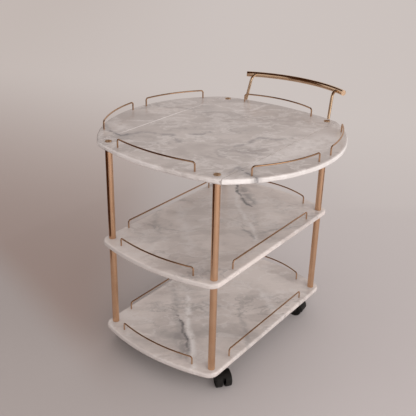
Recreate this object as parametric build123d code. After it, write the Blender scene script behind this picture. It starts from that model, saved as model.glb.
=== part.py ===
from build123d import *
import math
import os

# Tea trolley: a drop-leaf top and two shelves on four tube posts, with wire gallery
# rails, a push handle and four twin-wheel casters. Millimetres, +Z up, floor at Z = 0.
# +X points along the trolley to its handle, and -Y to its front leaf. Everything is
# modelled about the boards' centre, and moved at the end so that X = 0 is mid-length.

# Boards
board_thickness = 18.0
board_edge_radius = 6.5
shelf_length = 740.0
shelf_width = 456.0
shelf_end_radius = 695.0
shelf_corner_radius = 37.0
panel_setback = 10.0
panel_end_radius = 800.0
leaf_depth = 153.5
seam_gap = 1.0
seam_edge_radius = 1.2

# Posts
post_diameter = 22.0
post_wall = 1.5
post_end_inset = 64.0
post_side_inset = 26.0
upper_post_length = 306.0
lower_post_length = 298.0
post_plug_length = 20.0
post_seat_depth = 0.5
post_seat_clearance = 0.15

# Post fasteners
cap_head_diameter = 20.0
cap_head_thickness = 3.0
cap_head_rounding = 0.8
cap_socket_across_flats = 5.0
cap_socket_depth = 2.0
cap_seat_depth = 1.0
cap_seat_clearance = 0.2
cap_thread_diameter = 6.0
cap_thread_engagement = 16.0
stud_diameter = 8.0
stud_engagement = 15.0
foot_flange_diameter = 17.0
foot_flange_thickness = 1.6
foot_hex_across_flats = 13.0
foot_hex_height = 5.3
board_hole_clearance = 0.2

# Gallery rails
wire_diameter = 5.0
rail_height = 27.0
rail_bend_radius = 8.0
rail_foot_depth = 10.0
end_rail_radius = 587.0
end_rail_inset = 25.0
end_rail_side_gap = 85.0
handle_end_rail_radius = 302.0
handle_end_rail_inset = 21.0
handle_end_rail_side_gap = 91.5
side_rail_inset = 19.0
side_rail_post_gap = 89.0
side_rail_offset = -6.0
leaf_rail_inset = 16.0
leaf_rail_end_gap = 82.0
leaf_rail_gap = 65.0
leaf_rail_offset = -9.0

# Push handle
bar_diameter = 19.0
bar_wall = 1.5
bar_height = 72.0
bar_reach = 110.0
bar_length = 396.0
bar_bow_radius = 397.0
rod_diameter = 10.0
rod_bar_inset = 33.0
rod_overhang = 14.5
rod_top_run = 31.5
rod_foot_bend = 18.0
rod_top_bend = 24.0
rod_tip_depth = 6.0
rod_plate_length = 44.0
rod_plate_thickness = 3.0
rod_plate_setback = 28.0
rod_plate_post_gap = 4.0
rod_weld_depth = 0.5
rod_leg_margin = 2.0
rod_screw_spacing = 21.0
rod_screw_edge = 4.5

# Flap hinges under the seams
hinge_end_inset = 175.0
hinge_wing_thickness = 2.0
knuckle_diameter = 8.0
knuckle_board_gap = 0.3
knuckle_side_gap = 0.3
centre_knuckle_length = 20.0
wing_notch = 5.5
hinge_bolt_diameter = 4.0
hinge_bolt_clearance = 0.05
hinge_bolt_head_diameter = 7.0
hinge_bolt_head_height = 2.6
hinge_bolt_end = 2.0
hinge_nut_across_flats = 7.0
hinge_nut_height = 3.2
hinge_screw_spread = 44.0
hinge_screw_edge = 8.0
hinge_screw_row = 31.0
hinge_screw_row_edge = 9.0
hinge_screw_inner_row = 17.0

# Wood screws
screw_diameter = 3.5
screw_head_diameter = 7.0
screw_length = 13.0
screw_point_length = 2.0

# Casters
caster_height = 73.0
caster_end_inset = 122.0
caster_side_inset = 28.0
caster_trail = 15.0
caster_plate_thickness = 2.5
caster_plate_corner = 4.0
caster_screw_spacing = 31.0
caster_screw_edge = 5.5
kingpin_diameter = 8.0
kingpin_clearance = 0.05
kingpin_engagement = 14.0
kingpin_end_gap = 0.5
collar_diameter = 14.0
collar_thickness = 1.0
swivel_gap = 0.2
wheel_diameter = 50.0
wheel_width = 20.0
wheel_gap = 10.0
wheel_side_clearance = 0.5
tread_rounding = 3.0
tread_chamfer = 1.0
rim_thickness = 5.0
rim_face_width = 7.0
wheel_web_thickness = 3.5
wheel_dish_depth = 2.5
hub_diameter = 14.0
hub_cap_diameter = 16.0
hub_closure = 4.0
axle_diameter = 6.0
axle_clearance = 0.05
axle_end_gap = 0.5
hood_clearance = 2.0
hood_wall = 2.5
hood_side_inset = 2.0
hood_edge_radius = 1.0
hood_front_angle = 185.0
hood_back_angle = 40.0
hood_boss_diameter = 18.0
axle_boss_diameter = 18.0

# Which way each caster trails at rest, in degrees from +X about +Z
caster_headings = {
    "front_left": -128.0,
    "front_right": 99.0,
    "back_left": 158.0,
    "back_right": 36.0,
}

# Corners as signs of X and Y
corners = {
    "front_left": (-1, -1),
    "front_right": (1, -1),
    "back_left": (-1, 1),
    "back_right": (1, 1),
}

# Heights worked out from the floor up
bottom_shelf_under = caster_height
bottom_shelf_top = bottom_shelf_under + board_thickness
middle_shelf_under = bottom_shelf_top + lower_post_length
middle_shelf_top = middle_shelf_under + board_thickness
top_under = middle_shelf_top + upper_post_length
top_surface = top_under + board_thickness

# Places worked out from the sizes above
seam_y = shelf_width / 2
panel_end_x = shelf_length / 2 - panel_setback
post_x = shelf_length / 2 - post_end_inset
post_y = shelf_width / 2 - post_side_inset
rod_plate_width = rod_screw_spacing + 2 * rod_screw_edge
caster_x = shelf_length / 2 - caster_end_inset
caster_y = shelf_width / 2 - caster_side_inset
caster_plate_size = caster_screw_spacing + 2 * caster_screw_edge
hinge_x = panel_end_x - hinge_end_inset
hinge_width = hinge_screw_spread + 2 * hinge_screw_edge
hinge_wing_length = hinge_screw_row + hinge_screw_row_edge
side_rail_span = 2 * (post_x - side_rail_post_gap)
rod_top_y = bar_length / 2 - rod_bar_inset
rod_foot_y = post_y - post_diameter / 2 - rod_plate_post_gap - rod_plate_width / 2
bar_mid_x = panel_end_x + bar_reach
bar_z = top_surface + bar_height
knuckle_radius = knuckle_diameter / 2
hinge_drop = knuckle_radius + knuckle_board_gap
hinge_axis_z = top_under - hinge_drop
wheel_radius = wheel_diameter / 2
wheel_space_radius = wheel_radius + hood_clearance
hood_radius = wheel_space_radius + hood_wall
hood_width = wheel_gap + 2 * (wheel_width - hood_side_inset)
hood_web_thickness = wheel_gap - 2 * wheel_side_clearance
hood_top_z = caster_height - caster_plate_thickness - collar_thickness - swivel_gap
frame_shift_x = (shelf_length / 2 - bar_mid_x - bar_diameter / 2) / 2


def bowed_end_corner(half_length, end_radius, half_width):
    """X of the corner where a bowed end meets a long side."""
    return half_length - end_radius + math.sqrt(end_radius**2 - half_width**2)


def post_places():
    """Plan positions of the four posts."""
    return [(sx * post_x, sy * post_y) for sx, sy in corners.values()]


def hole(place, diameter, low_z, high_z):
    """A round cutter standing on a plan position."""
    x, y = place
    return Pos(x, y, low_z) * Cylinder(
        diameter / 2, high_z - low_z, align=(Align.CENTER, Align.CENTER, Align.MIN)
    )


def rim_edges(board):
    """Edges of a board's top and bottom faces."""
    faces = board.faces().sort_by(Axis.Z)
    return faces[0].edges() + faces[-1].edges()


# Boards

def shelf_blank(under_z):
    """A shelf with straight sides, bowed ends and round corners."""
    half_length = shelf_length / 2
    half_width = shelf_width / 2
    corner_x = bowed_end_corner(half_length, shelf_end_radius, half_width)
    outline = [
        Line((-corner_x, -half_width), (corner_x, -half_width)),
        ThreePointArc((corner_x, -half_width), (half_length, 0), (corner_x, half_width)),
        Line((corner_x, half_width), (-corner_x, half_width)),
        ThreePointArc((-corner_x, half_width), (-half_length, 0), (-corner_x, -half_width)),
    ]
    face = make_face(outline)
    face = fillet(face.vertices(), shelf_corner_radius)
    blank = extrude(Pos(0, 0, under_z) * face, board_thickness)
    return fillet(rim_edges(blank), board_edge_radius)


def soften_seam(board, seam_face):
    """Take the sharpness off the edge along a seam."""
    return fillet(seam_face.edges(), seam_edge_radius)


def panel_blank():
    """The fixed middle of the top: seams along its sides and bowed ends."""
    corner_x = bowed_end_corner(panel_end_x, panel_end_radius, seam_y)
    whole = make_face(
        [
            Line((-corner_x, -seam_y), (corner_x, -seam_y)),
            ThreePointArc((corner_x, -seam_y), (panel_end_x, 0), (corner_x, seam_y)),
            Line((corner_x, seam_y), (-corner_x, seam_y)),
            ThreePointArc((-corner_x, seam_y), (-panel_end_x, 0), (-corner_x, -seam_y)),
        ]
    )
    board = extrude(Pos(0, 0, top_under) * whole, board_thickness)
    ends = rim_edges(board).filter_by(GeomType.CIRCLE)
    board = fillet(ends, board_edge_radius)
    keep = Pos(0, 0, top_under) * Box(
        4 * panel_end_x,
        2 * seam_y - seam_gap,
        3 * board_thickness,
    )
    board = board & keep
    for axis_end in (0, -1):
        board = soften_seam(board, board.faces().sort_by(Axis.Y)[axis_end])
    return board


def leaf_blank():
    """The front leaf, raised: a straight seam edge and one long arc."""
    corner_x = bowed_end_corner(panel_end_x, panel_end_radius, seam_y)
    whole = make_face(
        [
            ThreePointArc((-corner_x, -seam_y), (0, -seam_y - leaf_depth), (corner_x, -seam_y)),
            Line((corner_x, -seam_y), (-corner_x, -seam_y)),
        ]
    )
    board = extrude(Pos(0, 0, top_under) * whole, board_thickness)
    board = fillet(rim_edges(board).filter_by(GeomType.CIRCLE), board_edge_radius)
    keep = Pos(0, -seam_y - seam_gap / 2, top_under) * Box(
        4 * panel_end_x,
        2 * leaf_depth,
        3 * board_thickness,
        align=(Align.CENTER, Align.MAX, Align.CENTER),
    )
    board = board & keep
    return soften_seam(board, board.faces().sort_by(Axis.Y)[-1])


def leaf_arc():
    """Centre Y and radius of the front leaf's outer arc."""
    corner_x = bowed_end_corner(panel_end_x, panel_end_radius, seam_y)
    radius = (corner_x**2 + leaf_depth**2) / (2 * leaf_depth)
    return -seam_y - leaf_depth + radius, radius


# Gallery rails

def wire_rail(run, board_top):
    """A wire arch: two legs sunk in a board, two bends and the run between them."""
    up = Vector(0, 0, 1)
    ends = []
    for place, along in ((run @ 0, run % 0), (run @ 1, (run % 1) * -1)):
        centre = place - up * rail_bend_radius
        shoulder = centre - along * rail_bend_radius
        middle = centre + (up - along) * (rail_bend_radius / math.sqrt(2))
        foot = Vector(shoulder.X, shoulder.Y, board_top - rail_foot_depth)
        ends.append((foot, shoulder, middle, place))
    first, last = ends
    path = Wire(
        [
            Line(first[0], first[1]),
            ThreePointArc(first[1], first[2], first[3]),
            run,
            ThreePointArc(last[3], last[2], last[1]),
            Line(last[1], last[0]),
        ]
    )
    section = Pos(first[0]) * Circle(wire_diameter / 2)
    feet = [(first[0].X, first[0].Y), (last[0].X, last[0].Y)]
    return sweep(section, path=path), feet


def arc_run(centre, radius, middle_angle, span, height):
    """A level arc whose rail feet stand about span apart, measured along the chord."""
    half_angle = math.asin((span / 2 - rail_bend_radius) / radius)
    points = []
    for angle in (middle_angle - half_angle, middle_angle, middle_angle + half_angle):
        x = centre[0] + radius * math.cos(angle)
        y = centre[1] + radius * math.sin(angle)
        points.append((x, y, height))
    return ThreePointArc(*points)


def end_rail_shape(side):
    """Radius, furthest X and span of an end's rails; side is -1, or +1 at the handle."""
    if side < 0:
        furthest_x = shelf_length / 2 - end_rail_inset
        return end_rail_radius, furthest_x, shelf_width - 2 * end_rail_side_gap
    furthest_x = shelf_length / 2 - handle_end_rail_inset
    return handle_end_rail_radius, furthest_x, shelf_width - 2 * handle_end_rail_side_gap


def end_rail(board_top, side):
    """The rail at one end of a board; side is -1 or +1 along X."""
    radius, furthest_x, span = end_rail_shape(side)
    centre = (side * (furthest_x - radius), 0)
    middle_angle = 0 if side > 0 else math.pi
    return wire_rail(arc_run(centre, radius, middle_angle, span, board_top + rail_height), board_top)


def side_rail(board_top, side):
    """The straight rail along one side of a shelf; side is -1 or +1 along Y."""
    y = side * (shelf_width / 2 - side_rail_inset)
    half_run = side_rail_span / 2 - rail_bend_radius
    start = (side_rail_offset - half_run, y, board_top + rail_height)
    end = (side_rail_offset + half_run, y, board_top + rail_height)
    return wire_rail(Line(start, end), board_top)


def leaf_rail(side):
    """One of the front leaf's two rails; side is -1 or +1 along X."""
    arc_y, arc_radius = leaf_arc()
    radius = arc_radius - leaf_rail_inset
    corner_x = bowed_end_corner(panel_end_x, panel_end_radius, seam_y)
    inner_x = leaf_rail_offset + side * leaf_rail_gap / 2
    outer_x = leaf_rail_offset + side * (corner_x - leaf_rail_end_gap)
    inner_angle = -math.acos(inner_x / radius)
    outer_angle = -math.acos(outer_x / radius)
    middle_angle = (inner_angle + outer_angle) / 2
    span = 2 * radius * math.sin(abs(outer_angle - inner_angle) / 2)
    run = arc_run((0, arc_y), radius, middle_angle, span, top_surface + rail_height)
    return wire_rail(run, top_surface)


def leaf_rails():
    """The leaves' rails with their feet; the back leaf is the front one turned half round."""
    rails = {}
    for side, front_name, back_name in ((-1, "left", "right"), (1, "right", "left")):
        rail, feet = leaf_rail(side)
        rails[f"front_leaf_rail_{front_name}"] = (rail, feet)
        turned_feet = [(-x, -y) for x, y in feet]
        rails[f"back_leaf_rail_{back_name}"] = (Rot(0, 0, 180) * rail, turned_feet)
    return rails


# Posts and their fasteners

def post(place, low_z, high_z, low_bore, high_bore):
    """A tube with a tapped plug welded into each end."""
    solid = hole(place, post_diameter, low_z, high_z)
    inside = post_diameter - 2 * post_wall
    solid -= hole(place, inside, low_z + post_plug_length, high_z - post_plug_length)
    solid -= hole(place, low_bore, low_z, low_z + post_plug_length)
    solid -= hole(place, high_bore, high_z - post_plug_length, high_z)
    return solid


def upper_post(place):
    low_z = middle_shelf_top - post_seat_depth
    return post(place, low_z, top_under, stud_diameter, cap_thread_diameter)


def lower_post(place):
    low_z = bottom_shelf_top - post_seat_depth
    return post(place, low_z, middle_shelf_under, stud_diameter, stud_diameter)


def cap_screw(place):
    """A flat-headed screw through the top into an upper post."""
    seat_z = top_surface - cap_seat_depth
    head = hole(place, cap_head_diameter, seat_z, seat_z + cap_head_thickness)
    head = fillet(head.edges().sort_by(Axis.Z)[-1], cap_head_rounding)
    x, y = place
    socket = RegularPolygon(cap_socket_across_flats / 2, 6, major_radius=False)
    socket = Pos(x, y, seat_z + cap_head_thickness) * socket
    head -= extrude(socket, -cap_socket_depth)
    return head + hole(place, cap_thread_diameter, top_under - cap_thread_engagement, seat_z)


def joining_stud(place):
    """A stud through the middle shelf, into the posts above and below it."""
    low_z = middle_shelf_under - stud_engagement
    high_z = middle_shelf_top - post_seat_depth + stud_engagement
    return hole(place, stud_diameter, low_z, high_z)


def foot_bolt(place):
    """A flanged hexagon bolt from under the bottom shelf into a lower post."""
    x, y = place
    flange_low = bottom_shelf_under - foot_flange_thickness
    top_z = bottom_shelf_top - post_seat_depth + stud_engagement
    hexagon = RegularPolygon(foot_hex_across_flats / 2, 6, major_radius=False)
    solid = extrude(Pos(x, y, flange_low) * hexagon, -foot_hex_height)
    solid += hole(place, foot_flange_diameter, flange_low, bottom_shelf_under)
    return solid + hole(place, stud_diameter, bottom_shelf_under, top_z)


# Wood screws

def wood_screw():
    """A countersunk screw pointing up, with its head's face at the origin."""
    head = screw_head_diameter / 2
    shank = screw_diameter / 2
    outline = Polyline(
        (0, 0),
        (head, 0),
        (shank, head - shank),
        (shank, screw_length - screw_point_length),
        (0, screw_length),
        close=True,
    )
    return revolve(make_face(Plane.XZ * outline), Axis.Z)


def wood_screws(places, head_z):
    """Wood screws with their heads' faces at one height."""
    screw = wood_screw()
    return [Pos(x, y, head_z) * screw for x, y in places]


# Flap hinges

def hinge_wing(side, knuckles):
    """A flat wing with its knuckles about the X axis; side is -1 or +1 along Y."""
    low_z = hinge_drop - hinge_wing_thickness
    plate = Pos(0, side * wing_notch, low_z) * Box(
        hinge_width,
        hinge_wing_length - wing_notch,
        hinge_wing_thickness,
        align=(Align.CENTER, Align.MIN if side > 0 else Align.MAX, Align.MIN),
    )
    far_corners = plate.edges().filter_by(Axis.Z).group_by(Axis.Y)[-1 if side > 0 else 0]
    wing = fillet(far_corners, 2 * hinge_wing_thickness)
    for start, end in knuckles:
        neck = Pos(start, 0, low_z) * Box(
            end - start,
            wing_notch,
            hinge_wing_thickness,
            align=(Align.MIN, Align.MIN if side > 0 else Align.MAX, Align.MIN),
        )
        barrel = Pos((start + end) / 2, 0, 0) * Rot(0, 90, 0) * Cylinder(
            knuckle_radius, end - start
        )
        wing += neck + barrel
    bore = hinge_bolt_diameter / 2 + hinge_bolt_clearance
    return wing - Rot(0, 90, 0) * Cylinder(bore, 2 * hinge_width)


def hinge_base():
    """The wing under the panel, with the two outer knuckles."""
    outer = hinge_width / 2
    inner = centre_knuckle_length / 2
    return hinge_wing(1, [(-outer, -inner), (inner, outer)])


def hinge_arm():
    """The wing under the leaf, with the centre knuckle."""
    inner = centre_knuckle_length / 2 - knuckle_side_gap
    return hinge_wing(-1, [(-inner, inner)])


def hinge_bolt():
    """The pivot bolt along X, its head at the low end."""
    length = hinge_width + hinge_nut_height + hinge_bolt_end
    start = -hinge_width / 2
    centred = (Align.CENTER, Align.CENTER, Align.MIN)
    shank = Pos(start, 0, 0) * Rot(0, 90, 0) * Cylinder(
        hinge_bolt_diameter / 2, length, align=centred
    )
    head = Pos(start - hinge_bolt_head_height, 0, 0) * Rot(0, 90, 0) * Cylinder(
        hinge_bolt_head_diameter / 2, hinge_bolt_head_height, align=centred
    )
    return shank + head


def hinge_nut():
    """The nut that clamps the knuckles and sets their friction."""
    section = RegularPolygon(hinge_nut_across_flats / 2, 6, major_radius=False)
    section -= Circle(hinge_bolt_diameter / 2)
    return Pos(hinge_width / 2, 0, 0) * Rot(0, 90, 0) * extrude(section, hinge_nut_height)


def hinge_places(side):
    """Where the hinges of one seam go; side is -1 (front) or +1 (back)."""
    turn = Rot(0, 0, 0 if side < 0 else 180)
    return [
        Pos(x * hinge_x, side * seam_y, hinge_axis_z) * turn for x in (-1, 1)
    ]


def hinge_screw_places(side, wing):
    """Plan positions of the screws in one seam's wings; wing is +1 base, -1 arm."""
    local = [
        (-hinge_screw_spread / 2, hinge_screw_row),
        (hinge_screw_spread / 2, hinge_screw_row),
        (0, hinge_screw_inner_row),
    ]
    places = []
    for x in (-1, 1):
        for dx, dy in local:
            places.append((x * hinge_x + dx, side * (seam_y - wing * dy)))
    return places


# Push handle

def bar_centre_x(y):
    """X of the bar's centre line at a given Y."""
    return bar_mid_x - bar_bow_radius + math.sqrt(bar_bow_radius**2 - y**2)


def bar_body(diameter, half_length):
    """A bowed round bar about the handle's centre line."""
    start = (bar_centre_x(half_length), -half_length, bar_z)
    end = (bar_centre_x(half_length), half_length, bar_z)
    path = ThreePointArc(start, (bar_mid_x, 0, bar_z), end)
    section = Plane(origin=path @ 0, z_dir=path % 0) * Circle(diameter / 2)
    return sweep(section, path=path)


def handle_bar(rods):
    """A bowed tube with closed ends, drilled for the rods' tips."""
    inside = bar_diameter - 2 * bar_wall
    solid = bar_body(bar_diameter, bar_length / 2)
    solid -= bar_body(inside, bar_length / 2 - bar_wall)
    for rod in rods:
        solid -= rod
    return solid


def rod_screw_places(side):
    """Plan positions of the two screws in a rod's plate."""
    x = panel_end_x - rod_plate_setback - rod_plate_length / 2
    y = side * rod_foot_y
    return [(x, y - rod_screw_spacing / 2), (x, y + rod_screw_spacing / 2)]


def handle_rod(side):
    """A bent rod welded to a screw plate under the top; side is -1 or +1 along Y."""
    foot_y = side * rod_foot_y
    top_y = side * rod_top_y
    plate_low = top_under - rod_plate_thickness
    leg_z = plate_low - rod_diameter / 2 + rod_weld_depth
    plate_end = panel_end_x - rod_plate_setback
    bar_x = bar_centre_x(top_y)
    path = FilletPolyline(
        (plate_end - rod_plate_length + rod_leg_margin, foot_y, leg_z),
        (panel_end_x + rod_overhang, foot_y, leg_z),
        (bar_x - rod_top_run, top_y, bar_z),
        (bar_x - rod_tip_depth, top_y, bar_z),
        radius=[rod_foot_bend, rod_top_bend],
    )
    section = Plane(origin=path @ 0, z_dir=path % 0) * Circle(rod_diameter / 2)
    plate = Pos(plate_end, foot_y, plate_low) * Box(
        rod_plate_length,
        rod_plate_width,
        rod_plate_thickness,
        align=(Align.MAX, Align.CENTER, Align.MIN),
    )
    solid = sweep(section, path=path) + plate
    for screw in wood_screws(rod_screw_places(side), plate_low):
        solid -= screw
    return solid


# Casters

def caster_place(name):
    """Plan position of a caster's swivel axis."""
    sx, sy = corners[name]
    return sx * caster_x, sy * caster_y


def caster_screw_places(name):
    x, y = caster_place(name)
    half = caster_screw_spacing / 2
    return [(x + sx * half, y + sy * half) for sx, sy in corners.values()]


def caster_plate(name):
    """The square plate under the bottom shelf, with the kingpin's hole."""
    x, y = caster_place(name)
    low_z = caster_height - caster_plate_thickness
    outline = RectangleRounded(caster_plate_size, caster_plate_size, caster_plate_corner)
    solid = extrude(Pos(x, y, low_z) * outline, caster_plate_thickness)
    solid -= hole((x, y), kingpin_diameter, low_z, caster_height)
    for screw in wood_screws(caster_screw_places(name), low_z):
        solid -= screw
    return solid


def kingpin(name):
    """The swivel pin, riveted flush into its plate, with a collar under it."""
    place = caster_place(name)
    collar_low = hood_top_z + swivel_gap
    low_z = hood_top_z - kingpin_engagement
    solid = hole(place, kingpin_diameter, low_z, caster_height)
    return solid + hole(place, collar_diameter, collar_low, collar_low + collar_thickness)


def hood_sector(radius):
    """A pie slice about the axle, over the wheels; the trail runs along +X."""
    start = math.radians(hood_back_angle)
    end = math.radians(hood_front_angle)
    middle = (start + end) / 2
    points = []
    for angle in (start, middle, end):
        points.append((radius * math.cos(angle), radius * math.sin(angle)))
    outline = [
        Line((0, 0), points[0]),
        ThreePointArc(*points),
        Line(points[2], (0, 0)),
    ]
    return Plane.XZ * make_face(outline)


def caster_hood():
    """Hood, web between the wheels and kingpin boss, swivel axis on Z, trail along +X."""
    at_axle = Pos(caster_trail, 0, wheel_radius)
    turn = Rot(90, 0, 0)
    shell = extrude(hood_sector(hood_radius), hood_width / 2, both=True)
    shell -= turn * Cylinder(wheel_space_radius, 2 * hood_width)
    outer_arcs = shell.edges().filter_by(GeomType.CIRCLE).filter_by(
        lambda edge: edge.radius > wheel_space_radius + hood_wall / 2
    )
    shell = fillet(outer_arcs, hood_edge_radius)
    boss_low = wheel_radius
    boss = hole((0, 0), hood_boss_diameter, boss_low, hood_top_z)
    boss -= at_axle * turn * Cylinder(wheel_space_radius, 2 * hood_width)
    web = extrude(hood_sector(hood_radius - hood_wall / 2), hood_web_thickness / 2, both=True)
    web += turn * Cylinder(axle_boss_diameter / 2, hood_web_thickness)
    solid = at_axle * (shell + web) + boss
    solid -= at_axle * turn * Cylinder(axle_diameter / 2, 2 * hood_width)
    bore = kingpin_diameter + 2 * kingpin_clearance
    floor_z = hood_top_z - kingpin_engagement - kingpin_end_gap
    return solid - hole((0, 0), bore, floor_z, hood_top_z)


def caster_axle():
    """The pin pressed through the hood's web, into both wheels' hubs."""
    half = wheel_gap / 2 + wheel_width - hub_closure - axle_end_gap
    at_axle = Pos(caster_trail, 0, wheel_radius)
    return at_axle * Rot(90, 0, 0) * Cylinder(axle_diameter / 2, 2 * half)


def caster_wheel(side):
    """A dished wheel with a blind hub; side is -1 or +1 along the axle."""
    bore = axle_diameter / 2 + axle_clearance
    hub = hub_diameter / 2
    cap = hub_cap_diameter / 2
    rim_inside = wheel_radius - rim_thickness
    face_inside = wheel_radius - rim_face_width
    web_out = wheel_width - wheel_dish_depth
    web_in = web_out - wheel_web_thickness
    shoulder = wheel_radius - tread_rounding
    mid_round = tread_rounding * (1 - math.sqrt(0.5))
    outline = [
        Polyline(
            (0, wheel_width - hub_closure),
            (bore, wheel_width - hub_closure),
            (bore, 0),
            (hub, 0),
            (hub, web_in),
            (rim_inside, web_in),
            (rim_inside, 0),
            (wheel_radius - tread_chamfer, 0),
            (wheel_radius, tread_chamfer),
            (wheel_radius, wheel_width - tread_rounding),
        ),
        ThreePointArc(
            (wheel_radius, wheel_width - tread_rounding),
            (wheel_radius - mid_round, wheel_width - mid_round),
            (shoulder, wheel_width),
        ),
        Polyline(
            (shoulder, wheel_width),
            (face_inside, wheel_width),
            (face_inside, web_out),
            (cap, web_out),
            (cap, wheel_width),
            (0, wheel_width),
            (0, wheel_width - hub_closure),
        ),
    ]
    edges = []
    for piece in outline:
        edges += piece.edges()
    wheel = revolve(make_face(edges), Axis.Y)
    wheel = Pos(0, wheel_gap / 2, 0) * wheel
    if side < 0:
        wheel = Rot(180, 0, 0) * wheel
    return Pos(caster_trail, 0, wheel_radius) * wheel


# Assembly

def build():
    """Every named piece, about the boards' centre."""
    nodes = {}
    places = post_places()

    top_rails = {"top_end_rail": end_rail(top_surface, -1)}
    top_rails["top_handle_end_rail"] = end_rail(top_surface, 1)
    rails_of_leaves = leaf_rails()
    shelf_rails = {}
    for shelf, board_top in (("middle", middle_shelf_top), ("bottom", bottom_shelf_top)):
        shelf_rails[shelf] = {
            f"{shelf}_end_rail": end_rail(board_top, -1),
            f"{shelf}_handle_end_rail": end_rail(board_top, 1),
            f"{shelf}_front_rail": side_rail(board_top, -1),
            f"{shelf}_back_rail": side_rail(board_top, 1),
        }

    cap_screws = [cap_screw(place) for place in places]
    joining_studs = [joining_stud(place) for place in places]
    foot_bolts = [foot_bolt(place) for place in places]

    base_places = hinge_screw_places(-1, 1) + hinge_screw_places(1, 1)
    panel_screws = wood_screws(base_places, top_under - hinge_wing_thickness)
    rod_places = rod_screw_places(-1) + rod_screw_places(1)
    rod_screws = wood_screws(rod_places, top_under - rod_plate_thickness)
    caster_screws = []
    for name in corners:
        low_z = caster_height - caster_plate_thickness
        caster_screws += wood_screws(caster_screw_places(name), low_z)
    arm_screws = {}
    for name, side in (("front", -1), ("back", 1)):
        arm_screws[name] = wood_screws(
            hinge_screw_places(side, -1), top_under - hinge_wing_thickness
        )

    panel = panel_blank()
    for place in places:
        seat = cap_head_diameter + 2 * cap_seat_clearance
        panel -= hole(place, seat, top_surface - cap_seat_depth, top_surface)
        bore = cap_thread_diameter + 2 * board_hole_clearance
        panel -= hole(place, bore, top_under, top_surface)
    for _, feet in top_rails.values():
        for foot in feet:
            panel -= hole(foot, wire_diameter, top_surface - rail_foot_depth, top_surface)
    for screw in panel_screws + rod_screws:
        panel -= screw
    nodes["top_panel"] = panel

    blank = leaf_blank()
    for name, side in (("front", -1), ("back", 1)):
        leaf = blank if side < 0 else Rot(0, 0, 180) * blank
        for side_name in ("left", "right"):
            for foot in rails_of_leaves[f"{name}_leaf_rail_{side_name}"][1]:
                leaf -= hole(foot, wire_diameter, top_surface - rail_foot_depth, top_surface)
        for screw in arm_screws[name]:
            leaf -= screw
        nodes[f"{name}_leaf"] = leaf

    for name, under_z in (("middle", middle_shelf_under), ("bottom", bottom_shelf_under)):
        board_top = under_z + board_thickness
        shelf = shelf_blank(under_z)
        for place in places:
            seat = post_diameter + 2 * post_seat_clearance
            shelf -= hole(place, seat, board_top - post_seat_depth, board_top)
            bore = stud_diameter + 2 * board_hole_clearance
            shelf -= hole(place, bore, under_z, board_top)
        for _, feet in shelf_rails[name].values():
            for foot in feet:
                shelf -= hole(foot, wire_diameter, board_top - rail_foot_depth, board_top)
        if name == "bottom":
            for screw in caster_screws:
                shelf -= screw
        nodes[f"{name}_shelf"] = shelf

    for rails in (top_rails, rails_of_leaves, shelf_rails["middle"], shelf_rails["bottom"]):
        for name, (rail, _) in rails.items():
            nodes[name] = rail

    for name, place in zip(corners, places):
        nodes[f"{name}_upper_post"] = upper_post(place)
        nodes[f"{name}_lower_post"] = lower_post(place)
    nodes["cap_screws"] = Compound(cap_screws)
    nodes["joining_studs"] = Compound(joining_studs)
    nodes["foot_bolts"] = Compound(foot_bolts)
    nodes["board_screws"] = Compound(panel_screws + rod_screws + caster_screws)

    base = hinge_base()
    arm = hinge_arm()
    bases = []
    for name, side in (("front", -1), ("back", 1)):
        arms = [place * arm for place in hinge_places(side)]
        for screw in arm_screws[name]:
            arms = [piece - screw for piece in arms]
        nodes[f"{name}_leaf_hinge_arms"] = Compound(arms)
        nodes[f"{name}_leaf_screws"] = Compound(arm_screws[name])
        bases += [place * base for place in hinge_places(side)]
    for screw in panel_screws:
        bases = [piece - screw for piece in bases]
    hinges = hinge_places(-1) + hinge_places(1)
    nodes["flap_hinge_bases"] = Compound(bases)
    nodes["flap_hinge_bolts"] = Compound([place * hinge_bolt() for place in hinges])
    nodes["flap_hinge_nuts"] = Compound([place * hinge_nut() for place in hinges])

    rods = {"front_handle_rod": handle_rod(-1), "back_handle_rod": handle_rod(1)}
    nodes["handle_bar"] = handle_bar(rods.values())
    nodes.update(rods)

    nodes["caster_plates"] = Compound([caster_plate(name) for name in corners])
    nodes["caster_kingpins"] = Compound([kingpin(name) for name in corners])
    pieces = {
        "hood": caster_hood(),
        "axle": caster_axle(),
        "wheel_a": caster_wheel(-1),
        "wheel_b": caster_wheel(1),
    }
    for name in corners:
        x, y = caster_place(name)
        at_rest = Pos(x, y, 0) * Rot(0, 0, caster_headings[name])
        for piece_name, piece in pieces.items():
            nodes[f"{name}_caster_{piece_name}"] = at_rest * piece
    return nodes


if __name__ == "__main__":
    os.makedirs("parts", exist_ok=True)
    for node_name, shape in build().items():
        export_step(Pos(frame_shift_x, 0, 0) * shape, f"parts/{node_name}.step")
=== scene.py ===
import math

import bpy
from mathutils import Matrix, Vector


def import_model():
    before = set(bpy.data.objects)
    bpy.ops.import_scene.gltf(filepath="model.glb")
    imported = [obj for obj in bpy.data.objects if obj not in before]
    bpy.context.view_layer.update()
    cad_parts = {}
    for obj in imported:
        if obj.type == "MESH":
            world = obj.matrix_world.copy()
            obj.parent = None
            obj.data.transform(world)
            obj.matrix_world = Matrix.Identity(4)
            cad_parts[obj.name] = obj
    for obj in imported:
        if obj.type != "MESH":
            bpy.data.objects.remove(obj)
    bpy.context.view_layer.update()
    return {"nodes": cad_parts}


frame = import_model()

# Lengths are in metres, in the CAD model's frame.
# The camera is fitted to the posts and board outlines of the photograph.
CAMERA_PLACE = (-1.6968, -1.1680, 1.4061)
CAMERA_TURN = math.radians(53.36)
CAMERA_DROP = math.radians(25.14)
CAMERA_ROLL = math.radians(1.40)
CAMERA_LENS = 57.97
CAMERA_SENSOR = 36.0

# The seams between the panel and its leaves lie at plus and minus this Y
SEAM_Y = 0.228

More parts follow.
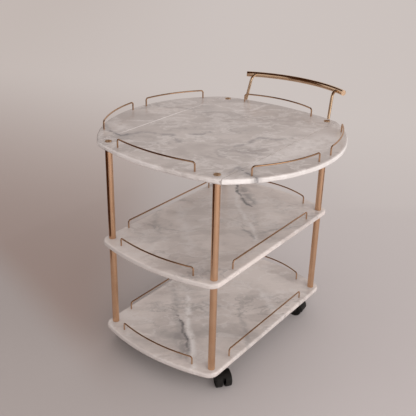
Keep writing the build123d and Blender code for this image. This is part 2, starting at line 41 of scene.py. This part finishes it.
# Colours are linear red, green, blue
BACKDROP = (0.60, 0.54, 0.515)
BACKDROP_SHADE = (0.545, 0.48, 0.45)
WORLD_LIGHT = (0.575, 0.53, 0.52)
# Floor paint: the darker, redder band is painted shadow, and the change from shade to light
# across the floor is painted shade
FLOOR_PAINTED_SHADOW = (0.425, 0.338, 0.305)
FLOOR_SHADE = (0.475, 0.432, 0.416)
FLOOR_LIGHT = (0.580, 0.540, 0.535)
ROSE_GOLD = (0.76, 0.495, 0.319)
# The wires' rose gold: darker and browner than the posts', partly painted shade for their dark
# reflections
ROSE_WIRE = (0.62, 0.405, 0.255)
CHAMPAGNE_BAR = (0.82, 0.61, 0.42)
CAP_GOLD = (0.84, 0.60, 0.38)
WORN_SHARE = (0.93, 0.88, 0.83)
ZINC_LIGHT = (0.58, 0.58, 0.56)
ZINC_DARK = (0.46, 0.46, 0.45)
HOOD_BLACK = (0.007, 0.006, 0.005)
WHEEL_BLACK = (0.008, 0.007, 0.006)
MARBLE_LIGHT = (0.60, 0.545, 0.515)
MARBLE_MID = (0.47, 0.42, 0.395)
MARBLE_GREY = (0.30, 0.28, 0.275)
MARBLE_DARK = (0.13, 0.125, 0.13)
MARBLE_WHITE = (0.82, 0.78, 0.76)
# Edge tones: painted light on the front leaf's edge, painted shade on the shelves' edges
EDGE_PAINTED_LIGHT = (0.86, 0.83, 0.81)
EDGE_PAINTED_SHADE = (0.56, 0.515, 0.49)
# The backing's colour is a guess, darkened as painted shade under the boards
BACKING = (0.34, 0.315, 0.295)
BACKING_GRAIN = 0.93
# The cards' colour: painted dark reflections
CARD = (0.075, 0.036, 0.018)
CARD_WEAVE = 1.2

# The marble's streaks: their direction in plan, and how they are drawn out
STREAK_TURN = math.radians(-49)
STREAK_SCALE = (1.0, 0.62, 0.6)

# The floor, and the plan directions that its shades follow: the photograph's right and far side
FLOOR_RADIUS = 14.0
FLOOR_SIDES = 96
RIGHT = (0.6, -0.8, 0)
AWAY = (0.8, 0.6, 0)

# Lamps: name, place, point that it is aimed at, width and height, watts, colour
KEY_PLACE = (-1.2, -3.5, 1.75)
LIGHTS = (
    ("key", KEY_PLACE, (0, 0, 0.45), (5.0, 3.0), 116, (1.0, 0.98, 0.965)),
    ("fill", (2.9, 1.2, 2.2), (0, 0, 0.5), (2.2, 2.0), 14, (1.0, 0.97, 0.95)),
    ("low", (-3.0, -0.9, 1.1), (0, 0, 0.4), (2.4, 1.4), 10, (1.0, 0.97, 0.955)),
)

# Studio cards that paint reflections, dark ones and card_key's glow as the key's painted
# highlight: name, place, width and height, and a colour where the card glows
CARDS = (
    ("card_key", KEY_PLACE, (4.0, 2.4), (1.8, 1.74, 1.68)),
    ("card_left", (-0.89, 0.49, 0.40), (0.9, 0.8)),
    ("card_back", (-0.10, 1.10, 0.40), (1.6, 0.8)),
    ("card_right", (0.78, -0.95, 0.40), (0.35, 0.8)),
    ("card_far_left", (-2.2, 1.90, 1.90), (2.2, 2.4)),
    ("card_behind", (-2.2, -2.2, 2.3), (2.6, 3.8)),
    ("card_above", (0.2, 0.1, 3.4), (6.5, 6.5)),
)
CARD_AIM_X = -0.1
CARD_OVERHEAD_Z = 3.0
CARD_HIDDEN_FROM = ("camera", "diffuse", "transmission", "volume_scatter", "shadow")

# The strong veins of each board: points in plan, half width, strength and tone
TOP_VEINS = (
    (((-0.255, 0.332), (-0.286, 0.268), (-0.299, 0.216), (-0.268, 0.197), (-0.228, 0.18),
      (-0.208, 0.122), (-0.189, 0.10), (-0.229, 0.04)), 0.016, 0.75, MARBLE_GREY),
    (((-0.286, 0.268), (-0.299, 0.216), (-0.268, 0.197)), 0.007, 0.65, MARBLE_DARK),
    (((-0.152, 0.057), (-0.128, 0.029), (-0.091, 0.022)), 0.011, 0.85, MARBLE_GREY),
    (((-0.15, -0.114), (-0.095, -0.126), (-0.033, -0.124), (-0.017, -0.174),
      (0.027, -0.201)), 0.013, 0.75, MARBLE_GREY),
    (((-0.347, -0.211), (-0.328, -0.22), (-0.29, -0.212), (-0.269, -0.219)), 0.008, 0.6,
     MARBLE_GREY),
    (((-0.283, -0.222), (-0.299, -0.254), (-0.313, -0.294)), 0.024, 0.75, MARBLE_GREY),
    (((-0.293, -0.235), (-0.313, -0.294), (-0.322, -0.335)), 0.006, 0.7, MARBLE_DARK),
    (((0.147, 0.094), (0.179, 0.058), (0.285, 0.051)), 0.014, 0.6, MARBLE_WHITE),
    (((-0.215, 0.317), (-0.242, 0.256)), 0.045, 0.5, MARBLE_WHITE),
    (((-0.20, -0.255), (-0.06, -0.27), (0.10, -0.29)), 0.070, 0.5, MARBLE_WHITE),
)
MIDDLE_VEINS = (
    (((0.26, 0.155), (0.232, 0.135), (0.195, 0.105), (0.17, 0.072), (0.13, 0.019),
      (0.12, -0.006)), 0.010, 0.95, MARBLE_DARK),
    (((0.23, 0.105), (0.19, 0.06), (0.15, 0.01)), 0.035, 0.75, MARBLE_GREY),
    (((0.18, 0.10), (0.09, 0.029), (0.029, -0.044), (-0.026, -0.116), (-0.082, -0.161)),
     0.014, 0.7, MARBLE_WHITE),
    (((-0.044, -0.085), (-0.048, -0.103), (-0.078, -0.151)), 0.010, 0.7, MARBLE_GREY),
    (((-0.11, 0.225), (-0.185, 0.18), (-0.236, 0.111)), 0.022, 0.4, MARBLE_GREY),
    (((-0.04, 0.19), (-0.153, 0.076), (-0.264, -0.037)), 0.030, 0.45, MARBLE_WHITE),
)
BOTTOM_VEINS = (
    (((-0.298, -0.012), (-0.319, -0.056), (-0.36, -0.10)), 0.040, 0.6, MARBLE_GREY),
    (((-0.091, 0.170), (-0.156, 0.107), (-0.214, 0.066), (-0.255, 0.010),
      (-0.296, -0.041), (-0.341, -0.086)), 0.022, 0.42, MARBLE_GREY),
    (((-0.208, 0.058), (-0.249, 0.003), (-0.289, -0.048), (-0.334, -0.094)), 0.010, 0.85,
     MARBLE_DARK),
    (((-0.083, 0.110), (-0.168, 0.042), (-0.237, -0.007), (-0.282, -0.065),
      (-0.347, -0.116), (-0.410, -0.171)), 0.018, 1.0, MARBLE_WHITE),
    (((-0.044, -0.083), (-0.102, -0.147), (-0.198, -0.230)), 0.016, 0.4, MARBLE_GREY),
    (((0.111, -0.065), (0.032, -0.176), (0.012, -0.235)), 0.020, 0.5, MARBLE_WHITE),
)

# Boards: material, shift of the pattern, veins, lift of the light tones (on the shelves painted
# light against the shade under the top), share of the edge's tone over dark and over light
# clouds, that tone (a pale edge, painted light on the front leaf and painted shade on the
# shelves), and strength of the pale line on a seam, a painted highlight
TOP_SHIFT = (0.0, 0.0, 0.0)
TOP_LIFT = 0.97
BOARDS = {
    "top_panel": ("marble_panel", TOP_SHIFT, TOP_VEINS, TOP_LIFT,
                  (0.25, 0.70), MARBLE_WHITE, 0.8),
    "front_leaf": ("marble_front_leaf", TOP_SHIFT, TOP_VEINS, TOP_LIFT,
                   (0.60, 0.98), EDGE_PAINTED_LIGHT, 0.0),
    "back_leaf": ("marble_back_leaf", TOP_SHIFT, TOP_VEINS, TOP_LIFT,
                  (0.25, 0.70), MARBLE_WHITE, 0.8),
    "middle_shelf": ("marble_middle", (1.7, 0.6, 0.0), MIDDLE_VEINS, 1.28,
                     (0.45, 0.85), EDGE_PAINTED_SHADE, 0.0),
    "bottom_shelf": ("marble_bottom", (5.3, 0.9, 0.0), BOTTOM_VEINS, 1.21,
                     (0.45, 0.85), EDGE_PAINTED_SHADE, 0.0),
}


def socket(node, name, value):
    node.inputs[name].default_value = value


def scaled(colour, share):
    return tuple(share * value for value in colour)


class Graph:
    """A node tree, with short calls that add and join nodes."""

    def __init__(self, tree):
        self.tree = tree

    def add(self, kind, **settings):
        node = self.tree.nodes.new(kind)
        for key, value in settings.items():
            setattr(node, key, value)
        return node

    def join(self, source, target):
        self.tree.links.new(source, target)

    def feed(self, target, value):
        if isinstance(value, bpy.types.NodeSocket):
            self.join(value, target)
        else:
            target.default_value = value

    def maths(self, operation, first, second=0.0, clamp=False):
        node = self.add("ShaderNodeMath", operation=operation, use_clamp=clamp)
        self.feed(node.inputs[0], first)
        self.feed(node.inputs[1], second)
        return node.outputs[0]

    def vector(self, operation, first, second=(0, 0, 0)):
        node = self.add("ShaderNodeVectorMath", operation=operation)
        self.feed(node.inputs[0], first)
        self.feed(node.inputs["Scale" if operation == "SCALE" else 1], second)
        return node.outputs["Value" if operation in ("DOT_PRODUCT", "LENGTH") else 0]

    def parts(self, vector):
        """The X, Y and Z outputs of a vector."""
        node = self.add("ShaderNodeSeparateXYZ")
        self.join(vector, node.inputs[0])
        return node.outputs

    def noise(self, place, scale, detail=4.0, roughness=0.55, distortion=0.0, output="Fac"):
        node = self.add("ShaderNodeTexNoise")
        self.join(place, node.inputs["Vector"])
        socket(node, "Scale", scale)
        socket(node, "Detail", detail)
        socket(node, "Roughness", roughness)
        socket(node, "Distortion", distortion)
        return node.outputs[output]

    def wandered(self, place, reach, scale, detail, roughness):
        """The place, moved about by a noise by up to half the reach each way."""
        colour = self.noise(place, scale, detail, roughness, output="Color")
        offset = self.vector("SUBTRACT", colour, (0.5, 0.5, 0.5))
        return self.vector("ADD", place, self.vector("SCALE", offset, reach))

    def off(self, value, level):
        """How far a value is from a level."""
        return self.maths("ABSOLUTE", self.maths("SUBTRACT", value, level))

    def spread(self, value, low, high, at_low=0.0, at_high=1.0):
        """A smooth step from at_low to at_high; low may be the larger value."""
        node = self.add("ShaderNodeMapRange", interpolation_type="SMOOTHSTEP")
        self.join(value, node.inputs["Value"])
        socket(node, "From Min", low)
        socket(node, "From Max", high)
        socket(node, "To Min", at_low)
        socket(node, "To Max", at_high)
        return node.outputs[0]

    def mix(self, factor, first, second):
        """A mix of two colours. Sockets 6 and 7 are those of the colour type."""
        node = self.add("ShaderNodeMix", data_type="RGBA")
        self.feed(node.inputs[0], factor)
        for slot, value in ((6, first), (7, second)):
            self.feed(node.inputs[slot], (*value, 1.0) if isinstance(value, tuple) else value)
        return node.outputs[2]

    def blend(self, factor, first, second):
        """A mix of two shaders."""
        node = self.add("ShaderNodeMixShader")
        for slot, source in enumerate((factor, first, second)):
            self.join(source, node.inputs[slot])
        return node.outputs[0]

    def seen(self):
        """One where the camera, a reflection or a clear surface looks, and none for light."""
        rays = self.add("ShaderNodeLightPath").outputs
        factor = self.maths("MAXIMUM", rays["Is Camera Ray"], rays["Is Glossy Ray"])
        return self.maths("MAXIMUM", factor, rays["Is Transmission Ray"])


class Finish(Graph):
    """A material's node tree, with its shader and the places that patterns follow."""

    def __init__(self, name):
        self.material = bpy.data.materials.new(name)
        self.material.use_nodes = True
        super().__init__(self.material.node_tree)
        self.shader = self.tree.nodes["Principled BSDF"]
        coordinates = self.add("ShaderNodeTexCoord")
        self.place = coordinates.outputs["Object"]
        self.normal = coordinates.outputs["Normal"]

    def mapped(self, turn=0.0, scale=(1, 1, 1), shift=(0, 0, 0)):
        node = self.add("ShaderNodeMapping", vector_type="TEXTURE")
        self.join(self.place, node.inputs["Vector"])
        socket(node, "Rotation", (0, 0, turn))
        socket(node, "Scale", scale)
        socket(node, "Location", shift)
        return node.outputs[0]

    def bump(self, height, strength, depth):
        node = self.add("ShaderNodeBump")
        self.join(height, node.inputs["Height"])
        socket(node, "Strength", strength)
        socket(node, "Distance", depth)
        self.join(node.outputs[0], self.shader.inputs["Normal"])

    def link(self, name, value):
        self.join(value, self.shader.inputs[name])

    def fix(self, name, value):
        socket(self.shader, name, value)


def line_distance(graph, place, points):
    """Distance in plan from a line drawn through the points."""
    nearest = None
    for start, end in zip(points, points[1:]):
        run = (end[0] - start[0], end[1] - start[1], 0)
        local = graph.vector("SUBTRACT", place, (start[0], start[1], 0))
        along = graph.vector("DOT_PRODUCT", local, run)
        share = graph.maths("DIVIDE", along, run[0]**2 + run[1]**2)
        share = graph.maths("ADD", share, 0.0, clamp=True)
        foot = graph.vector("SCALE", run, share)
        gap = graph.vector("LENGTH", graph.vector("SUBTRACT", local, foot))
        nearest = gap if nearest is None else graph.maths("MINIMUM", nearest, gap)
    return nearest


def stone(graph, shift, lift):
    """The printed pattern's colour, and the clouds that it starts from."""
    streaks = graph.mapped(STREAK_TURN, STREAK_SCALE, shift)
    warped = graph.wandered(streaks, reach=0.34, scale=5.0, detail=5.0, roughness=0.58)
    clouds = graph.noise(warped, scale=4.4, detail=7.0, roughness=0.58)
    colour = graph.mix(graph.spread(clouds, 0.36, 0.62), scaled(MARBLE_MID, lift),
                       scaled(MARBLE_LIGHT, lift))

    drift = graph.noise(warped, scale=3.0, detail=5.0)
    colour = graph.mix(graph.spread(drift, 0.52, 0.74, at_high=0.44), colour, MARBLE_GREY)

    # Thin dark lines, in patches
    thin = graph.off(graph.noise(warped, scale=6.5, detail=5.0), 0.5)
    patches = graph.spread(graph.noise(streaks, scale=3.1, detail=2.0), 0.47, 0.62)
    line = graph.maths("MULTIPLY", graph.spread(thin, 0.045, 0.0), patches)
    colour = graph.mix(graph.maths("MULTIPLY", line, 0.30), colour, MARBLE_DARK)

    # Pale veins
    pale = graph.noise(warped, scale=5.0, detail=6.0, roughness=0.58, distortion=0.3)
    pale = graph.spread(graph.off(pale, 0.47), 0.04, 0.0, at_high=0.38)
    return graph.mix(pale, colour, MARBLE_WHITE), clouds


def edged(graph, colour, clouds, share, tone):
    """The edge's tone where the surface turns down, but not in the front leaf's seam: a pale
    edge, which is painted light on the front leaf and painted shade on the shelves.
    """
    turned = graph.spread(graph.parts(graph.normal)["Z"], 0.97, 0.35)
    turned = graph.maths("MULTIPLY", turned, graph.spread(clouds, 0.38, 0.60, *share))
    seam = graph.off(graph.parts(graph.place)["Y"], -SEAM_Y)
    outside = graph.maths("MULTIPLY", turned, graph.spread(seam, 0.002, 0.004))
    return graph.mix(outside, colour, tone)


def veined(graph, colour, veins):
    """The veins drawn over the pattern, wandering and broken by noise."""
    flat = graph.vector("MULTIPLY", graph.place, (1, 1, 0.35))
    moved = graph.wandered(flat, reach=0.030, scale=26.0, detail=5.0, roughness=0.65)
    moved = graph.vector("MULTIPLY", moved, (1, 1, 0))
    broken = graph.spread(graph.noise(flat, scale=34.0, roughness=0.6), 0.30, 0.56)
    for points, width, strength, tone in veins:
        gap = line_distance(graph, moved, points)
        line = graph.spread(gap, width, 0.0, at_high=strength)
        colour = graph.mix(graph.maths("MULTIPLY", line, broken), colour, tone)
    return colour


def seamed(graph, colour, strength):
    """A painted highlight: a pale line on the stretch of the back leaf's seam that catches the
    light.
    """
    spot = graph.parts(graph.place)
    line = graph.spread(graph.off(spot["Y"], SEAM_Y), 0.0040, 0.0015)
    line = graph.maths("MULTIPLY", line, graph.spread(spot["X"], 0.12, -0.04))
    line = graph.maths("MULTIPLY", line, graph.spread(spot["X"], -0.31, -0.24))
    return graph.mix(graph.maths("MULTIPLY", line, strength), colour, MARBLE_WHITE)


def marble(name, shift, veins, lift, edge_share, edge_tone_and_painted_light, seam_light):
    """Marble-look laminate with a moulded edge, and a plain backing underneath, darkened as
    painted shade.
    """
    graph = Finish(name)
    colour, clouds = stone(graph, shift, lift)
    colour = edged(graph, colour, clouds, edge_share, edge_tone_and_painted_light)
    colour = veined(graph, colour, veins)
    if seam_light:
        colour = seamed(graph, colour, seam_light)

    # The backing underneath: its dark colour is painted shade
    under = graph.spread(graph.parts(graph.normal)["Z"], -0.90, -0.99)
    grain = graph.noise(graph.place, scale=260.0, detail=2.0)
    backing = graph.mix(grain, BACKING, scaled(BACKING, BACKING_GRAIN))
    graph.link("Base Color", graph.mix(under, colour, backing))

    smudge = graph.noise(graph.place, scale=14.0, detail=5.0, roughness=0.6)
    gloss = graph.spread(smudge, 0.3, 0.7, at_low=0.17, at_high=0.27)
    rough = graph.maths("ADD", gloss, graph.maths("MULTIPLY", under, 0.3))
    graph.link("Roughness", rough)
    graph.fix("Specular IOR Level", 0.5)
    texture = graph.noise(graph.place, scale=420.0, detail=2.0)
    graph.bump(texture, strength=0.04, depth=0.0005)
    return graph.material


def rose_metal(name, shade, roughness, stretch=(1.0, 1.0, 1.0)):
    """Rose gold plate, from polished to matt, with a faint grain and haze."""
    graph = Finish(name)
    fine = graph.noise(graph.mapped(scale=stretch), scale=900.0, detail=3.0, roughness=0.6)
    haze = graph.noise(graph.place, scale=22.0, roughness=0.6)
    worn = tuple(value * share for value, share in zip(shade, WORN_SHARE))
    graph.link("Base Color", graph.mix(graph.spread(haze, 0.35, 0.75), shade, worn))
    graph.fix("Metallic", 1.0)
    rough = graph.maths("ADD", roughness, graph.maths("MULTIPLY", fine, 0.03))
    rough = graph.maths("ADD", rough, graph.spread(haze, 0.5, 0.8, at_high=0.05))
    graph.link("Roughness", rough)
    graph.bump(fine, strength=0.03, depth=0.00005)
    return graph.material


def moulded_plastic(name, colour, roughness, grain):
    """Black moulding with a fine grain and a little dust."""
    graph = Finish(name)
    fine = graph.noise(graph.place, scale=grain, detail=3.0, roughness=0.6)
    dust = graph.noise(graph.place, scale=60.0, detail=5.0, roughness=0.65)
    dusty = tuple(value * 2.2 + 0.006 for value in colour)
    graph.link("Base Color", graph.mix(graph.spread(dust, 0.5, 0.85), colour, dusty))
    graph.link("Roughness", graph.spread(dust, 0.3, 0.8, roughness, roughness + 0.18))
    graph.fix("Specular IOR Level", 0.35)
    graph.bump(fine, strength=0.12, depth=0.0004)
    return graph.material


def plated_steel(name):
    """Zinc plated steel for hinges, screws and axles."""
    graph = Finish(name)
    spangle = graph.noise(graph.place, scale=180.0, roughness=0.6)
    graph.link("Base Color", graph.mix(spangle, ZINC_LIGHT, ZINC_DARK))
    graph.fix("Metallic", 1.0)
    graph.link("Roughness", graph.spread(spangle, 0.3, 0.7, at_low=0.30, at_high=0.46))
    graph.bump(spangle, strength=0.08, depth=0.0003)
    return graph.material


def area_light(name, place, target, size, power, colour):
    """A soft lamp. Reflections see the cards instead of it."""
    data = bpy.data.lights.new(name, "AREA")
    data.shape = "RECTANGLE"
    data.size, data.size_y = size
    data.energy = power
    data.color = colour
    light = bpy.data.objects.new(name, data)
    bpy.context.scene.collection.objects.link(light)
    light.location = place
    aim = Vector(target) - Vector(place)
    light.rotation_euler = aim.to_track_quat("-Z", "Y").to_euler()
    light.visible_glossy = False


def card(name, place, size, glow=None):
    """A studio card that only reflections see, facing the trolley: dark, as a painted dark
    reflection, or a soft glow, as a painted highlight.
    """
    bpy.ops.mesh.primitive_plane_add(size=1.0)
    sheet = bpy.context.active_object
    sheet.name = name
    sheet.scale = (*size, 1.0)
    sheet.location = place
    aim_z = place[2] if place[2] < CARD_OVERHEAD_Z else 0
    aim = Vector((CARD_AIM_X, 0, aim_z)) - Vector(place)
    sheet.rotation_euler = aim.to_track_quat("Z", "Y").to_euler()
    graph = Finish(name + "_painted_reflection")
    weave = graph.noise(graph.place, scale=3.0)
    graph.link("Base Color", graph.mix(weave, CARD, scaled(CARD, CARD_WEAVE)))
    graph.fix("Roughness", 1.0)
    graph.fix("Specular IOR Level", 0.0)
    if glow:
        graph.fix("Emission Color", (*glow, 1.0))
        graph.fix("Emission Strength", 1.0)
    sheet.data.materials.append(graph.material)
    for ray in CARD_HIDDEN_FROM:
        setattr(sheet, "visible_" + ray, False)


def floor_paint():
    """Pale paint, darker to the left as painted shade and with a painted shadow band on the
    left, that turns into the backdrop's colour far off.
    """
    graph = Finish("floor_paint")
    right = graph.vector("DOT_PRODUCT", graph.place, RIGHT)
    away = graph.vector("DOT_PRODUCT", graph.place, AWAY)

    # Painted shade: darker paint to the left, lighter to the right, with random patches
    patchy = graph.noise(graph.place, scale=1.4, detail=3.0)
    patchy = graph.maths("MULTIPLY", graph.maths("SUBTRACT", patchy, 0.5), 0.12)
    shade = graph.maths("ADD", graph.spread(right, -0.75, 0.45), patchy, clamp=True)
    paint = graph.mix(shade, FLOOR_SHADE, FLOOR_LIGHT)
    # Painted shadow: a darker, redder band on the left
    slant = graph.maths("ADD", away, graph.maths("MULTIPLY", right, 1.3))
    painted_shadow = graph.maths("MULTIPLY", graph.spread(right, -0.25, -0.60),
                       graph.spread(slant, -1.0, -0.68))
    graph.link("Base Color", graph.mix(painted_shadow, paint, FLOOR_PAINTED_SHADOW))
    graph.fix("Roughness", 0.75)

    # The backdrop comes in with distance, sooner on the right, where a step hints at its foot;
    # towards the left it is darker, as painted shade
    glow = graph.add("ShaderNodeEmission")
    side = graph.spread(right, -2.5, 0.5)
    graph.join(graph.mix(side, BACKDROP_SHADE, BACKDROP), glow.inputs["Color"])
    step = graph.maths("MULTIPLY", graph.spread(away, 0.92, 1.02),
                       graph.spread(right, 0.45, 0.75))
    reach = graph.maths("ADD", away, graph.maths("MULTIPLY", right, 0.35))
    reach = graph.maths("ADD", reach, graph.maths("MULTIPLY", step, 0.3))
    far = graph.maths("MULTIPLY", graph.spread(reach, -0.2, 3.2), graph.seen())
    surface = graph.blend(far, graph.shader.outputs[0], glow.outputs[0])
    graph.join(surface, graph.tree.nodes["Material Output"].inputs["Surface"])
    return graph.material


def world():
    """Plain light all round, and the backdrop's colour where it is looked at."""
    studio_world = bpy.data.worlds.new("studio")
    bpy.context.scene.world = studio_world
    studio_world.use_nodes = True
    graph = Graph(studio_world.node_tree)
    graph.tree.nodes.clear()
    output = graph.add("ShaderNodeOutputWorld")
    shades = []
    for colour in (WORLD_LIGHT, BACKDROP):
        background = graph.add("ShaderNodeBackground")
        background.inputs[0].default_value = (*colour, 1.0)
        shades.append(background.outputs[0])
    graph.join(graph.blend(graph.seen(), *shades), output.inputs[0])


def studio():
    """Pale floor, plain backdrop colour and soft light."""
    bpy.context.scene.view_settings.view_transform = "Standard"
    bpy.ops.mesh.primitive_circle_add(vertices=FLOOR_SIDES, radius=FLOOR_RADIUS,
                                      fill_type="TRIFAN")
    floor = bpy.context.active_object
    floor.name = "floor"
    floor.data.materials.append(floor_paint())
    world()
    for row in LIGHTS:
        area_light(*row)
    for row in CARDS:
        card(*row)


def camera():
    """The photograph's own view."""
    data = bpy.data.cameras.new("camera")
    data.lens = CAMERA_LENS
    data.sensor_width = CAMERA_SENSOR
    data.sensor_fit = "HORIZONTAL"
    view = bpy.data.objects.new("camera", data)
    bpy.context.scene.collection.objects.link(view)
    turn = Matrix.Rotation(-CAMERA_TURN, 4, "Z")
    tilt = Matrix.Rotation(math.pi / 2 - CAMERA_DROP, 4, "X")
    roll = Matrix.Rotation(CAMERA_ROLL, 4, "Z")
    view.matrix_world = Matrix.Translation(CAMERA_PLACE) @ turn @ tilt @ roll
    bpy.context.scene.camera = view


def dress():
    """Give every node of the model its finish."""
    posts = rose_metal("rose_tube", ROSE_GOLD, roughness=0.17, stretch=(1.0, 1.0, 0.02))
    bar = rose_metal("rose_bar", CHAMPAGNE_BAR, roughness=0.12)
    wires = rose_metal("rose_wire", ROSE_WIRE, roughness=0.15)
    caps = rose_metal("rose_cap", CAP_GOLD, roughness=0.50)
    hoods = moulded_plastic("caster_hood_plastic", HOOD_BLACK, roughness=0.50, grain=700.0)
    wheels = moulded_plastic("caster_wheel_plastic", WHEEL_BLACK, roughness=0.52, grain=500.0)
    steel = plated_steel("zinc_plate")
    boards = {name: marble(*look) for name, look in BOARDS.items()}
    for name, node in frame["nodes"].items():
        if name in boards:
            finish = boards[name]
        elif "_post" in name:
            finish = posts
        elif name == "cap_screws":
            finish = caps
        elif name == "handle_bar" or name.endswith("handle_rod"):
            finish = bar
        elif "_rail" in name:
            finish = wires
        elif name.endswith("hood"):
            finish = hoods
        elif "wheel" in name:
            finish = wheels
        else:
            finish = steel
        node.data.materials.clear()
        node.data.materials.append(finish)


camera()
studio()
dress()
